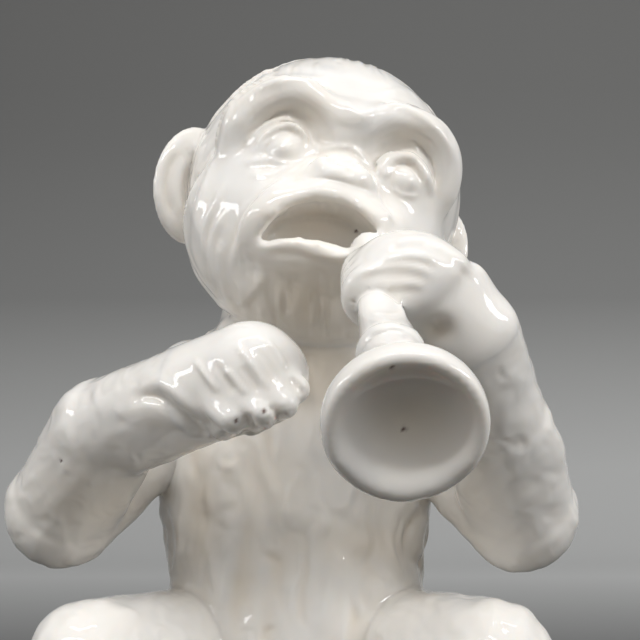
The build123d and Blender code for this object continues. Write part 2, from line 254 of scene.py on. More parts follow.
# %% [markdown]
# ## The light of the room
# The figure sits under a pale ceiling in a room that is dark in front of it. The glaze is pale on top and
# grey below, and the dish of the horn, which looks into the dark, is the darkest place of all. More lamps
# would each add a highlight of their own, so a sky does it: dark below the horizon, pale above, and a little
# brighter at both sides.

# %% Room light
ROOM_LIGHT = 1.0
HEIGHT_SLOPE = 0.5
HORIZON = 0.47
SIDE_LIFT = 0.20
ROOM_STOPS = [
    (0.0, (0.12, 0.105, 0.085, 1)),
    (0.44, (0.16, 0.145, 0.125, 1)),
    (0.56, (0.64, 0.615, 0.575, 1)),
    (0.80, (0.62, 0.62, 0.62, 1)),
    (1.0, (0.60, 0.60, 0.60, 1)),
]

world = bpy.data.worlds.new("room")
bpy.context.scene.world = world
world.use_nodes = True
room_wire = Wire(world.node_tree, None)
room_way = Wire(world.node_tree, room_wire.node("ShaderNodeTexCoord").outputs["Generated"])
room_axes = room_wire.node("ShaderNodeSeparateXYZ", Vector=room_way).outputs
room_side = Wire(world.node_tree, room_axes["X"])
room_up = Wire(world.node_tree, room_axes["Z"]) * HEIGHT_SLOPE + HORIZON + room_side * room_side * SIDE_LIFT
room_ramp = room_wire.node("ShaderNodeValToRGB", {"stops": ROOM_STOPS}, Fac=room_up)
background = world.node_tree.nodes["Background"]
world.node_tree.links.new(room_ramp.outputs["Color"], background.inputs["Color"])
background.inputs["Strength"].default_value = ROOM_LIGHT
print("stops of the sky:", len(ROOM_STOPS))

# %% [markdown]
# ## One skin from all the solids
# Glaze runs over the luted parts as one skin. Joining the solids with a Boolean would keep every sharp seam,
# so a voxel remesh walks over all of them at once and closes the seams. The kiln vent under the seat is
# plugged a little way in first, so that the remesh takes the hollows of the trunk and the head for solid
# clay, and the vent stays a shallow hole.

# %% Gather the solids
WELD_GAP = 0.002 * MM

soup = bmesh.new()
solid_faces = []
solid_corners = []
solid_of_face = []
for index, name in enumerate(NODES):
    copy = bmesh.new()
    copy.from_mesh(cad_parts[name].data)
    bmesh.ops.remove_doubles(copy, verts=copy.verts, dist=WELD_GAP)
    start = len(solid_corners)
    copy.verts.index_update()
    solid_corners += [v.co.copy() for v in copy.verts]
    solid_faces += [tuple(start + v.index for v in f.verts) for f in copy.faces]
    solid_of_face += [index] * len(copy.faces)
    merged = bpy.data.meshes.new("merged_" + name)
    copy.to_mesh(merged)
    copy.free()
    soup.from_mesh(merged)
    bpy.data.meshes.remove(merged)
solids_tree = BVHTree.FromPolygons(solid_corners, solid_faces)
solid_of_face = np.array(solid_of_face)
print("faces of the solids:", len(solid_of_face))

# %% Plug the vent
PLUG_PLACE = Vector((0, 15, 4.8)) * MM
PLUG_RADIUS = 6 * MM
PLUG_DEPTH = 2.8 * MM
bmesh.ops.create_cone(
    soup,
    cap_ends=True,
    segments=32,
    radius1=PLUG_RADIUS,
    radius2=PLUG_RADIUS,
    depth=PLUG_DEPTH,
    matrix=Matrix.Translation(PLUG_PLACE),
)
print("plug, mm:", round(PLUG_DEPTH / MM, 1))

# %% Fuse the solids
VOXEL = 0.62 * MM

soup_mesh = bpy.data.meshes.new("soup")
soup.to_mesh(soup_mesh)
soup.free()
soup_object = bpy.data.objects.new("soup", soup_mesh)
bpy.context.scene.collection.objects.link(soup_object)
remesh = soup_object.modifiers.new("glaze_coat", "REMESH")
remesh.mode = "VOXEL"
remesh.voxel_size = VOXEL
depsgraph = bpy.context.evaluated_depsgraph_get()
skin_mesh = bpy.data.meshes.new_from_object(soup_object.evaluated_get(depsgraph))
bpy.data.objects.remove(soup_object)
print("skin corners:", len(skin_mesh.vertices))

# %% [markdown]
# ## Only the outside
# The remesh can leave a crumb inside, as a shell of its own. Only the largest shell is kept. Corners that
# share an edge are given the same number until nothing changes, which is quicker for a skin with so many
# corners than walking from one to the next.

# %% Keep the outer shell
def links_of(mesh):
    """The corners of every edge and of every quad of a mesh."""
    edges = np.empty(len(mesh.edges) * 2, np.int32)
    mesh.edges.foreach_get("vertices", edges)
    loops = np.empty(len(mesh.loops), np.int32)
    mesh.loops.foreach_get("vertex_index", loops)
    return edges.reshape(-1, 2), loops.reshape(-1, 4)


def places_of(mesh):
    """The places of all corners of a mesh, one row each."""
    places = np.empty(len(mesh.vertices) * 3, np.float32)
    mesh.vertices.foreach_get("co", places)
    return places.reshape(-1, 3).astype(float)


def island_of(count, edges):
    """A number for each corner that all corners of the same shell share."""
    island = np.arange(count)
    while True:
        lowest = np.minimum(island[edges[:, 0]], island[edges[:, 1]])
        spread = island.copy()
        np.minimum.at(spread, edges[:, 0], lowest)
        np.minimum.at(spread, edges[:, 1], lowest)
        spread = spread[spread]
        if np.array_equal(spread, island):
            return island
        island = spread


edges, quads = links_of(skin_mesh)
place = places_of(skin_mesh)
island = island_of(len(place), edges)
shells, sizes = np.unique(island, return_counts=True)
kept = island == shells[np.argmax(sizes)]
new_number = np.cumsum(kept) - 1
place = place[kept]
edges = new_number[edges[kept[edges[:, 0]]]]
quads = new_number[quads[kept[quads[:, 0]]]]
COUNT = len(place)
print("shells:", len(shells), "corners kept:", COUNT)

# %% [markdown]
# ## Tools for smoothing
# The sculpt brushes of Blender need a hand on the mouse. The same moves are written here as sums over the
# neighbours of every corner, for all corners at once: pulling a corner towards its neighbours smooths the
# clay, and moving it out only where it lies in a hollow fills the creases, as thick glaze does.

# %% Tools for the skin
both_ways = np.vstack([edges, edges[:, ::-1]])
both_ways = both_ways[np.argsort(both_ways[:, 0], kind="stable")]
NEIGHBOURS = np.bincount(both_ways[:, 0], minlength=COUNT)
first_row = np.cumsum(NEIGHBOURS) - NEIGHBOURS
slot = np.arange(len(both_ways)) - first_row[both_ways[:, 0]]
WIDEST = slot.max() + 1
beside = np.tile(np.arange(COUNT)[:, None], (1, WIDEST))
beside[both_ways[:, 0], slot] = both_ways[:, 1]
ALL = np.arange(COUNT)
PULL_IN, GIVE_BACK = 0.5, 0.52
POOL_STEP = 0.6
POOL_RENEW = 3
LEAST = 0.02


def pull(places, chosen=ALL):
    """The way from each chosen corner to the middle of its neighbours."""
    own = places[chosen]
    total = -own * (WIDEST - NEIGHBOURS[chosen])[:, None]
    for column in beside[chosen].T:
        total += places[column]
    return total / NEIGHBOURS[chosen][:, None] - own


def outward(places):
    """The direction in which the skin faces at each corner."""
    across = places[quads[:, 2]] - places[quads[:, 0]]
    down = places[quads[:, 3]] - places[quads[:, 1]]
    facing = np.cross(across, down)
    normal = np.zeros((COUNT, 3))
    for corner in range(4):
        for axis in range(3):
            normal[:, axis] += np.bincount(quads[:, corner], facing[:, axis], COUNT)
    return normal / (np.linalg.norm(normal, axis=1)[:, None] + 1e-30)


def soften(places, rounds, share=1.0):
    """Evens the skin out and gives back most of the volume that this takes."""
    share = np.broadcast_to(share, COUNT)
    chosen = np.flatnonzero(share > LEAST)
    much = share[chosen][:, None]
    places = places.copy()
    for _ in range(rounds):
        places[chosen] += PULL_IN * much * pull(places, chosen)
        places[chosen] -= GIVE_BACK * much * pull(places, chosen)
    return places


def pool(places, rounds, share):
    """Lets glaze gather in the creases: only corners in a hollow move, and only outwards."""
    for step in range(rounds):
        if step % POOL_RENEW == 0:
            normal = outward(places)
        rise = np.einsum("ij,ij->i", pull(places), normal)
        places = places + normal * (np.maximum(rise, 0) * POOL_STEP * share)[:, None]
    return places


nearest_solid = np.array([solid_of_face[solids_tree.find_nearest(Vector(p))[2]] for p in place])
share_of = {name: (nearest_solid == index).astype(float) for index, name in enumerate(NODES)}
print("corners of the head:", int(share_of["head"].sum()))

# %% [markdown]
# ## Glaze in the joints
# On the real figure no joint between limb and body is sharp: slip was wiped into it, and glaze gathered on
# top. A Bevel would need the edges of each joint, so the hollows are filled a little at a time instead. The
# face keeps more of its shape and the turned horn nearly all of it, so these get a smaller share. How far
# each corner moved is kept, because thick glaze looks creamier, and the creamy tint laid there is painted
# shade in the joints as well.

# %% Round the joints
POOL_SHARES = {"horn_bell": 0.0, "horn_tube": 0.15, "head": 0.5, "left_ear": 0.5, "right_ear": 0.5}
POOL_ROUNDS = 30
SOFT_PARTS = ("left_arm", "right_arm", "trunk", "left_leg", "right_leg")
SOFT_ROUNDS = 40
LEAST_SOFT = 0.1

pool_share = sum(share_of[name] * POOL_SHARES.get(name, 1.0) for name in NODES)
before_pool = place
place = pool(place, POOL_ROUNDS, pool_share)
pooled = np.linalg.norm(place - before_pool, axis=1) / MM
soft_share = sum(share_of[name] for name in SOFT_PARTS)
place = soften(place, SOFT_ROUNDS, np.clip(soft_share * (1 - LEAST_SOFT) + LEAST_SOFT, 0, 1))
print("deepest glaze in a joint, mm:", round(pooled.max(), 2))

# %% [markdown]
# ## Tools for carving
# A modeller shapes soft clay with few tools: a loop that draws a line in or leaves a ridge, a thumb that
# raises or hollows a place, and a push that shifts a form sideways. Each tool here does one of these on the
# skin. The places are pixels of the photograph, so a line is drawn where the camera sees it, and only
# corners of the named parts that face the camera are touched.

# %% Where the camera sees each corner
camera_turn = camera.rotation_euler.to_matrix()
RIGHT = np.array(camera_turn.col[0])
UP = np.array(camera_turn.col[1])
BACK = np.array(camera_turn.col[2])


def seen(places):
    """The pixels at which the camera sees some places, and how far away these are."""
    way = places - np.array(CAMERA_PLACE)
    depth = -(way @ BACK)
    across = PHOTO_WIDTH / 2 + FOCAL_PIXELS * (way @ RIGHT) / depth
    down = PHOTO_WIDTH / 2 - FOCAL_PIXELS * (way @ UP) / depth
    return np.stack([across, down], 1), depth


print("nearest corner to the camera, mm:", round(seen(place)[1].min() / MM))

# %% Soft steps and smooth lines
DOT_SPACING = 2.0


def ease(share):
    """Runs softly from 0 to 1."""
    share = np.clip(share, 0, 1)
    return share * share * (3 - 2 * share)


def smooth_line(points):
    """Closely spaced dots on a smooth curve through given pixels."""
    points = np.array(points, float)
    padded = np.vstack([2 * points[0] - points[1], points, 2 * points[-1] - points[-2]])
    dots = []
    for before, first, last, after in zip(padded, padded[1:], padded[2:], padded[3:]):
        steps = max(int(np.linalg.norm(last - first) / DOT_SPACING), 1)
        t = np.arange(steps)[:, None] / steps
        dots.append(
            first
            + 0.5 * t * (last - before)
            + t**2 * (before - 2.5 * first + 2 * last - 0.5 * after)
            + t**3 * (-0.5 * before + 1.5 * first - 1.5 * last + 0.5 * after)
        )
    return np.vstack(dots + [points[-1:]])


# %% What the camera sees
FACING_ROUNDS = 3


class Look:
    """What the camera sees of the skin: the pixel of each corner and how far it is turned to the camera."""

    last = None

    def __init__(self, places):
        self.places = places
        self.pixel, self.depth = seen(places)
        facing = outward(places)
        for _ in range(FACING_ROUNDS):
            facing = facing + pull(facing)
        self.normal = facing / np.linalg.norm(facing, axis=1)[:, None]
        toward = np.array(CAMERA_PLACE) - places
        toward /= np.linalg.norm(toward, axis=1)[:, None]
        self.turned = np.einsum("ij,ij->i", self.normal, toward)

    @classmethod
    def at(cls, places):
        """The look at some places, worked out once for all the strokes that start from them."""
        if cls.last is None or cls.last.places is not places:
            cls.last = cls(places)
        return cls.last


# %% Strokes of the modeller
STROKE_FADE = 0.45
STROKE_TAPER = 0.25
PUSH_START, PUSH_FADE = -0.5, 0.9


class Carver:
    """Gathers the strokes on some parts and lays them on the skin along its own facing."""

    def __init__(self, places, *names):
        look = Look.at(places)
        self.places, self.pixel, self.depth, self.normal = places, look.pixel, look.depth, look.normal
        mine = sum(share_of[name] for name in names)
        self.reach = ease(look.turned / STROKE_FADE) * mine
        self.hold = ease((look.turned - PUSH_START) / PUSH_FADE) * mine
        self.rise = np.zeros(COUNT)
        self.push = np.zeros((COUNT, 3))

    def near(self, low, high, margin):
        """The corners within reach in a box of pixels and a margin round it."""
        inside = np.all((self.pixel > low - margin) & (self.pixel < high + margin), axis=1)
        return np.flatnonzero(inside & (self.reach > 0))

    def away(self, points, margin):
        """The corners near a line, their distance from it, the side they lie on, and their place along it."""
        dots = smooth_line(points)
        chosen = self.near(dots.min(0), dots.max(0), margin)
        offset = self.pixel[chosen, None] - dots[None]
        closest = np.argmin((offset**2).sum(2), axis=1)
        row = np.arange(len(chosen))
        gap = offset[row, closest]
        ahead = np.gradient(dots, axis=0)[closest]
        ahead /= np.linalg.norm(ahead, axis=1)[:, None]
        side = ahead[:, 0] * gap[:, 1] - ahead[:, 1] * gap[:, 0]
        return chosen, np.linalg.norm(gap, axis=1), np.sign(side), closest / (len(dots) - 1)

    def line(self, points, width, rise):
        """A soft ridge, or a groove if the rise is below zero, that fades out at both ends."""
        chosen, distance, _, along = self.away(points, 3 * width)
        ends = ease(np.minimum(along, 1 - along) / STROKE_TAPER)
        self.rise[chosen] += rise * MM * np.exp(-((distance / width) ** 2)) * ends

    def fold(self, points, edge, fade, rise):
        """A step: the skin stands up on the right of the line's way and runs out level behind it."""
        chosen, distance, side, along = self.away(points, 3 * fade)
        ends = ease(np.minimum(along, 1 - along) / STROKE_TAPER)
        signed = distance * side
        step = ease((signed + edge) / (2 * edge)) * np.exp(-((np.maximum(signed, 0) / fade) ** 2))
        self.rise[chosen] += rise * MM * step * ends

    def mound(self, middle, size, rise, turn=0.0):
        """A soft round or oval mound, or a hollow if the rise is below zero."""
        size = np.array(size, float)
        chosen = self.near(np.array(middle) - size.max(), np.array(middle) + size.max(), 2 * size.max())
        gap = self.pixel[chosen] - np.array(middle)
        angle = math.radians(turn)
        across = (gap[:, 0] * math.cos(angle) + gap[:, 1] * math.sin(angle)) / size[0]
        down = (gap[:, 1] * math.cos(angle) - gap[:, 0] * math.sin(angle)) / size[1]
        self.rise[chosen] += rise * MM * np.exp(-(across**2 + down**2))

    def nudge(self, middle, size, shift):
        """Pushes a form sideways by some pixels, and less and less away from its middle."""
        size = np.array(size, float)
        chosen = self.near(np.array(middle) - size, np.array(middle) + size, 2 * size.max())
        gap = (self.pixel[chosen] - np.array(middle)) / size
        much = np.exp(-(gap**2).sum(1)) * self.depth[chosen] / FOCAL_PIXELS
        self.push[chosen] += (much * self.hold[chosen])[:, None] * (shift[0] * RIGHT - shift[1] * UP)

    def laid(self):
        """The places after all the strokes."""
        reached = int((self.rise != 0).sum())
        print("strokes reach", reached, "corners, highest mm", round(self.rise.max() / MM, 2))
        return self.places + self.push + self.normal * (self.rise * self.reach)[:, None]


# %% [markdown]
# ## Soften what the mould blurs
# The turned and rounded solids meet in edges that the clay never had. Before anything is carved, those
# places are rubbed smooth, the way a wet sponge takes down a seam.

# %% Rub the seams down
RUB_STEP = 0.6


def rub(places, *jobs):
    """Evens out the skin. A job gives its spots (middle and size), its rounds and the names of the parts."""
    rubbed = places.copy()
    for spots, rounds, names in jobs:
        work = Carver(places, *names)
        weight = np.zeros(COUNT)
        for middle, size in spots:
            gap = (work.pixel - np.array(middle)) / np.array(size)
            weight = np.maximum(weight, np.exp(-((gap**2).sum(1) ** 2)))
        weight *= work.hold
        chosen = np.flatnonzero(weight > LEAST)
        much = RUB_STEP * weight[chosen][:, None]
        for _ in range(rounds):
            rubbed[chosen] += much * pull(rubbed, chosen)
    return rubbed


CHEEK_SPOTS = [((272, 182), (50, 20)), ((220, 158), (18, 40)), ((420, 216), (34, 20)), ((352, 150), (20, 20))]
LIP_SPOTS = [
    ((264, 232), (16, 16)),
    ((300, 202), (34, 14)),
    ((345, 198), (26, 14)),
    ((368, 222), (12, 24)),
    ((312, 246), (60, 10)),
]
LID_SPOTS = [
    ((279, 172), (30, 9)),
    ((253, 160), (10, 12)),
    ((305, 154), (10, 18)),
    ((240, 172), (14, 14)),
    ((398, 203), (28, 10)),
    ((373, 188), (10, 14)),
    ((422, 194), (10, 14)),
]
BALL_SPOTS = [((286, 148), (22, 18)), ((407, 182), (20, 20))]
BRIDGE_SPOTS = [((342, 150), (26, 12))]
FOREHEAD_SPOTS = [
    ((214, 120), (14, 34)),
    ((240, 88), (24, 16)),
    ((232, 92), (26, 26)),
    ((290, 62), (50, 13)),
    ((360, 88), (34, 20)),
    ((430, 100), (40, 20)),
]
THROAT_SPOTS = [((300, 340), (90, 24))]
GRIP_SPOTS = [((400, 258), (40, 32))]
FIST_SPOTS = [((225, 365), (70, 40)), ((168, 360), (26, 44))]
EAR_SPOTS = [((176, 186), (26, 56))]
BELL_SPOTS = [((404, 486), (78, 26)), ((404, 440), (64, 56))]
# the spots, how many rounds they are rubbed, and the parts that they lie on
place = rub(
    place,
    (CHEEK_SPOTS + FOREHEAD_SPOTS, 90, ["head"]),
    (LIP_SPOTS, 45, ["head"]),
    (LID_SPOTS, 110, ["head"]),
    (BALL_SPOTS, 36, ["head"]),
    (BRIDGE_SPOTS, 70, ["head"]),
    (THROAT_SPOTS, 120, ["head", "trunk"]),
    (GRIP_SPOTS, 60, ["left_hand"]),
    (FIST_SPOTS, 40, ["right_hand", "right_arm"]),
    (EAR_SPOTS, 60, ["left_ear", "right_ear"]),
    (BELL_SPOTS, 50, ["horn_bell"]),
)
print("places rubbed down:", int((np.linalg.norm(place - Look.last.places, axis=1) > 0.1 * MM).sum()))

# %% [markdown]
# ## The face
# Two big smooth bowls under a double brow, small eyeballs under rolled lids, a flat nose with wrinkles over
# it, a domed muzzle with a fold at each side, and a wide mouth whose lower lip is a soft roll. A
# displacement picture could carry all this, but a stroke can be read and moved by itself. First the forms
# are pushed to where the photograph has them, then the lines are drawn.

# %% Push the face into place
# middle, size and shift in pixels of the photograph
FACE_PUSHES = [
    ((272, 108), (52, 46), (10, 2)),
    ((351, 112), (24, 20), (5, 3)),
    ((398, 176), (28, 26), (8, 4)),
    ((330, 247), (30, 10), (0, 7)),
    ((292, 238), (20, 8), (0, 3)),
]
# middle and size in pixels, rise in millimetres
BRIDGE_HOLLOWS = [((342, 149), (22, 11), -1.3), ((346, 161), (17, 8), -1.0)]
face = Carver(place, "head")
for middle, size, shift in FACE_PUSHES:
    face.nudge(middle, size, shift)
for middle, size, rise in BRIDGE_HOLLOWS:
    face.mound(middle, size, rise)
place = face.laid()

# %% [markdown]
# ### The brow
# Over each eye socket the clay stands up in a round ridge with a second, softer one above it, and the two
# ridges dip together over the nose. They catch the strips of light as double lines.

# %% Brow
BROW_LEFT = [
    (229, 150), (226, 128), (233, 108), (250, 93), (270, 84), (294, 79), (318, 81), (336, 90), (347, 102),
]
BROW_RIGHT = [(372, 110), (380, 104), (391, 103), (404, 107), (420, 116), (436, 129), (448, 146), (455, 168)]
NOTCH = [(341, 98), (350, 108), (361, 115), (371, 112), (379, 105)]
ABOVE_LEFT = [(240, 96), (266, 78), (300, 70), (334, 78), (356, 96)]
ABOVE_RIGHT = [(376, 90), (400, 91), (424, 101), (444, 120)]

face = Carver(place, "head")
face.line(BROW_LEFT, width=4, rise=0.6)
face.line(BROW_RIGHT, width=4, rise=0.6)
face.line(NOTCH, width=5, rise=0.45)
face.line(ABOVE_LEFT, width=9, rise=0.6)
face.line(ABOVE_RIGHT, width=9, rise=0.6)
print("corners under the brow:", int((face.rise != 0).sum()))

# %% [markdown]
# ### The eyes
# Each eyeball is a low round mound without a drawn pupil. A rolled lid runs over it, with a groove under the
# roll, and a fold of skin hangs below. All of these are soft strokes of three to five pixels.

# %% Eyes
EYE_LEFT = (286, 147)
LID_LEFT = [(244, 151), (250, 144), (259, 133), (270, 125), (284, 121), (296, 125), (305, 135), (308, 143)]
UNDER_LID_LEFT = [(254, 152), (262, 141), (273, 133), (285, 130), (296, 134), (303, 142)]
LOWER_LEFT = [(238, 166), (254, 161), (270, 160), (284, 164), (300, 163)]
BAG_LEFT = [(246, 172), (258, 176), (270, 176), (284, 171), (296, 165)]
EYE_RIGHT = (406, 180)
LID_RIGHT = [(392, 162), (400, 157), (411, 158), (420, 167), (428, 181), (435, 199)]
UNDER_LID_RIGHT = [(392, 171), (399, 165), (409, 166), (417, 174), (423, 186)]
INNER_RIGHT = [(382, 175), (389, 173), (396, 169)]
LOWER_RIGHT = [(391, 184), (398, 193), (409, 196), (420, 196)]
face.mound(EYE_LEFT, size=(14, 10), rise=0.9, turn=-12)
face.line(LID_LEFT, width=4.5, rise=1.0)
face.line(UNDER_LID_LEFT, width=3.5, rise=-0.55)
face.line(LOWER_LEFT, width=4, rise=0.5)
face.line(BAG_LEFT, width=3.5, rise=0.45)
face.mound(EYE_RIGHT, size=(13, 10), rise=0.9, turn=35)
face.line(LID_RIGHT, width=4.5, rise=1.0)
face.line(UNDER_LID_RIGHT, width=3.5, rise=-0.55)
face.line(INNER_RIGHT, width=3, rise=0.4)
face.line(LOWER_RIGHT, width=3.2, rise=0.45)
print("corners under the brow and the lids:", int((face.rise != 0).sum()))

# %% [markdown]
# ### The nose and the muzzle
# The nose is flat, with a wrinkle over the bridge and two shallow dents. At each side of it a fold starts
# that runs down round the muzzle, so the muzzle stands a step above the cheek.

# %% Nose and muzzle
NOSE_TOP = [(300, 165), (312, 163), (322, 161), (330, 159), (344, 158), (354, 162), (362, 170), (368, 180)]
BRIDGE_WRINKLE = [
    (304, 151), (316, 150), (330, 148), (346, 147), (356, 151), (364, 160), (372, 172), (382, 177),
]
NOSTRILS = [(331, 164), (348, 173)]
LIP_CREASE = [(300, 190), (312, 184), (328, 180), (344, 182), (358, 190)]
MUZZLE_LEFT = [(291, 170), (278, 183), (262, 196), (250, 209), (242, 224), (237, 240), (233, 254), (229, 272)]
MUZZLE_RIGHT = [(371, 168), (376, 188), (381, 204), (389, 214), (395, 230)]
face.line(NOSE_TOP, width=3.5, rise=0.4)
face.line(BRIDGE_WRINKLE, width=3, rise=0.45)
for nostril in NOSTRILS:
    face.mound(nostril, size=(3, 3), rise=-0.6)
face.line(LIP_CREASE, width=3, rise=-0.25)
face.fold(MUZZLE_LEFT[::-1], edge=5, fade=22, rise=1.3)
face.fold(MUZZLE_RIGHT, edge=5, fade=16, rise=1.0)
print("corners with the nose and the folds:", int((face.rise != 0).sum()))

# %% [markdown]
# ### The mouth
# The mouth is open for the horn. Its lower lip is a soft roll that is thickest in the middle, and the muzzle
# swells above the upper lip. The edge is wiped afterwards, as a wet finger would do.

# %% Mouth
MUZZLE_TOP = (326, 181)
LIP_EDGE_SPOTS = [((300, 240), (46, 8)), ((330, 247), (36, 8))]
LOWER_LIP = [(258, 243), (272, 243), (294, 241), (312, 246), (332, 252), (354, 259)]
UNDER_LIP = [(262, 252), (280, 254), (300, 255), (322, 262), (344, 270)]
MOUTH_CORNER = [(262, 241), (250, 246), (240, 252)]
face.line(LOWER_LIP, width=6, rise=0.9)
face.line(UNDER_LIP, width=5, rise=-0.3)
face.mound(MUZZLE_TOP, size=(46, 18), rise=1.5)
face.line(MOUTH_CORNER, width=4, rise=-0.2)
place = face.laid()
place = rub(place, (LIP_EDGE_SPOTS, 44, ["head"]))

# %% [markdown]
# ### The ears
# The ears are pressed on as flat cups, with a hollow along the middle and a ridge towards the cheek.

# %% Ears
EAR_HOLLOW = [(183, 150), (172, 166), (168, 186), (171, 206), (179, 222)]
EAR_RIDGE = [(190, 152), (181, 166), (177, 186), (178, 206), (184, 222)]
ears = Carver(place, "left_ear", "right_ear")
ears.line(EAR_HOLLOW, width=6, rise=-1.1)
ears.line(EAR_RIDGE, width=6, rise=1.1)
place = ears.laid()

# %% [markdown]
# ## The hands
# The hands are mittens of clay with the fingers only drawn in. The loose fist shows raised tendons on its
# back and four blunt finger ends below. The hand on the horn shows its knuckles as arcs round the tube.

# %% Loose fist
TENDONS = [
    [(193, 357), (205, 374), (220, 394)],
    [(223, 367), (234, 379), (249, 397)],
    [(234, 342), (246, 357), (262, 380), (270, 392)],
    [(263, 337), (276, 352), (288, 372)],
]
BETWEEN_TENDONS = [
    [(212, 360), (226, 380), (236, 396)],
    [(240, 364), (252, 381), (260, 394)],
    [(256, 346), (270, 366), (280, 384)],
]
FINGER_GAPS = [
    [(246, 412), (250, 424), (252, 438)],
    [(268, 404), (276, 412), (283, 424)],
    [(290, 378), (298, 386), (305, 396)],
]
HAND_EDGE = [(140, 378), (158, 381), (172, 391), (186, 403), (200, 413), (213, 422), (232, 434)]
WRIST_HOLLOW = [(126, 404), (144, 396), (160, 399), (176, 412), (194, 425), (214, 434)]
FINGER_ENDS = (250, 425)
fist = Carver(place, "right_hand", "right_arm")
fist.nudge(FINGER_ENDS, size=(40, 16), shift=(0, -5))
place = fist.laid()
fist = Carver(place, "right_hand", "right_arm")
for tendon in TENDONS:
    fist.line(tendon, width=3.2, rise=0.6)
for gap in BETWEEN_TENDONS:
    fist.line(gap, width=3.5, rise=-0.35)
for gap in FINGER_GAPS:
    fist.line(gap, width=3.5, rise=-0.6)
fist.line(HAND_EDGE, width=7, rise=0.5)
fist.line(WRIST_HOLLOW, width=7, rise=-1.3)
place = fist.laid()

# %% [markdown]
# ### The hand on the horn
# The fingers lie round the tube. The clay shows them only as arcs with a shallow valley below each, and the
# wrist as a few wrinkles that fan out towards the arm. The arm is first pushed out to its full sweep.

# %% Hand on the horn
KNUCKLE_ARCS = [
    [(368, 268), (380, 261), (396, 257), (414, 256), (430, 259), (441, 268)],
    [(352, 277), (366, 271), (384, 267), (404, 266), (422, 270), (437, 279)],
    [(362, 294), (376, 288), (392, 285), (410, 284), (428, 287)],
]
HAND_WRINKLES = [
    [(428, 242), (446, 249), (462, 261), (476, 280)],
    [(438, 236), (462, 246), (480, 262), (494, 284)],
    [(392, 243), (410, 239), (430, 240)],
]
FINGER_NICK = [(354, 298), (357, 306), (361, 316)]
PALM_HOLLOW = (438, 332)
VALLEY_SHIFT = (0, 7)
WRINKLE_SHIFT = (-2, 7)
ARM_PUSHES = [
    ((522, 322), (36, 44), (8, -3)),
    ((482, 268), (26, 24), (10, -13)),
    ((562, 440), (20, 34), (6, 0)),
]
KNUCKLES = (394, 290)
FINGER_SWELL = (385, 318)
KNUCKLE_SPOTS = [((394, 292), (38, 16))]
TUBE_SEAM_SPOTS = [((410, 306), (12, 18))]


def moved(points, shift):
    """A line shifted by some pixels."""
    return [(x + shift[0], y + shift[1]) for x, y in points]


arm = Carver(place, "left_arm", "left_hand")
for middle, size, shift in ARM_PUSHES:
    arm.nudge(middle, size, shift)
place = arm.laid()
grip = Carver(place, "left_hand", "horn_tube")
grip.nudge(KNUCKLES, size=(42, 26), shift=(0, 19))
grip.mound(FINGER_SWELL, size=(26, 22), rise=0.9)
place = grip.laid()
place = rub(
    place,
    (KNUCKLE_SPOTS, 30, ["left_hand"]),
    (TUBE_SEAM_SPOTS, 60, ["left_hand", "horn_tube", "left_arm"]),
)
grip = Carver(place, "left_hand", "left_arm")
for arc in KNUCKLE_ARCS:
    grip.line(arc, width=4, rise=0.45)
    grip.line(moved(arc, VALLEY_SHIFT), width=4, rise=-0.2)
for wrinkle in HAND_WRINKLES:
    grip.line(wrinkle, width=4.5, rise=0.3)
    grip.line(moved(wrinkle, WRINKLE_SHIFT), width=4.5, rise=-0.15)
grip.line(FINGER_NICK, width=3, rise=-0.9)
grip.mound(PALM_HOLLOW, size=(16, 14), rise=-2.0)
place = grip.laid()

# %% [markdown]
# ## The coat
# The coat is only hinted at: soft shallow strands that were combed into the clay and half filled by the
# glaze. Hair particles would stand off the skin, so the skin itself is moved. Random waves that are long in
# one direction and narrow in the other give such strands. On the trunk and the limbs they run along the
# form, and on the head they run back over the crown and down the cheeks.

# %% Waves for the coat
MIX_WAY = np.array([127.1, 311.7, 74.7])
MIX_SEED = 12.9
MIX_SCALE = 43758.5453
DRIFT_SHARE = 0.9


def ripple(points, seed):
    """Soft random waves between -1 and 1, one unit wide."""
    low = np.floor(points)
    part = ease(points - low)
    total = np.zeros(len(points))
    for number in range(8):
        corner = np.array([number & 1, number >> 1 & 1, number >> 2])
        near = np.prod(np.where(corner, part, 1 - part), axis=1)
        mixed = np.sin((low + corner) @ MIX_WAY + seed * MIX_SEED) * MIX_SCALE
        total += near * (2 * (mixed - np.floor(mixed)) - 1)
    return total


def along_of(places, name):
    """The direction in which a solid is longest."""
    mine = places[share_of[name] > 0]
    spread = np.linalg.svd(np.cov((mine - mine.mean(0)).T))[0]
    return spread[:, 0]


def strands(places, way, spacing, length, seed):
    """Waves that are narrow across a direction and long along it."""
    along = places @ way
    across = places - along[:, None] * way
    drift = DRIFT_SHARE * ripple(places / (length * 0.5), seed + 5)[:, None] * spacing
    return ripple((across + drift) / spacing + way * (along / length)[:, None], seed)


# %% [markdown]
# ### Combing the coat
# The trunk and the limbs have broad strands, the cheeks and the crown finer ones, and the face, the hands,
# the feet and the ears are bare. The coat fades towards the seat, which was wiped flat. Each part has waves
# of its own, so they are evened out where two parts meet, or a step would show there.

# %% Comb the trunk and the limbs
# the spacing, the length and the height of the strands in millimetres
COAT = {
    "trunk": (6.4, 24, 1.15),
    "left_arm": (4.6, 26, 0.42),
    "right_arm": (5.2, 22, 0.42),
    "left_leg": (5.0, 26, 0.45),
    "right_leg": (5.0, 26, 0.45),
}
FINE_SHARE = 0.4
FINE_SEED = 20
SEAT_FADE = 40 * MM
SEAT_SHARE = 0.25

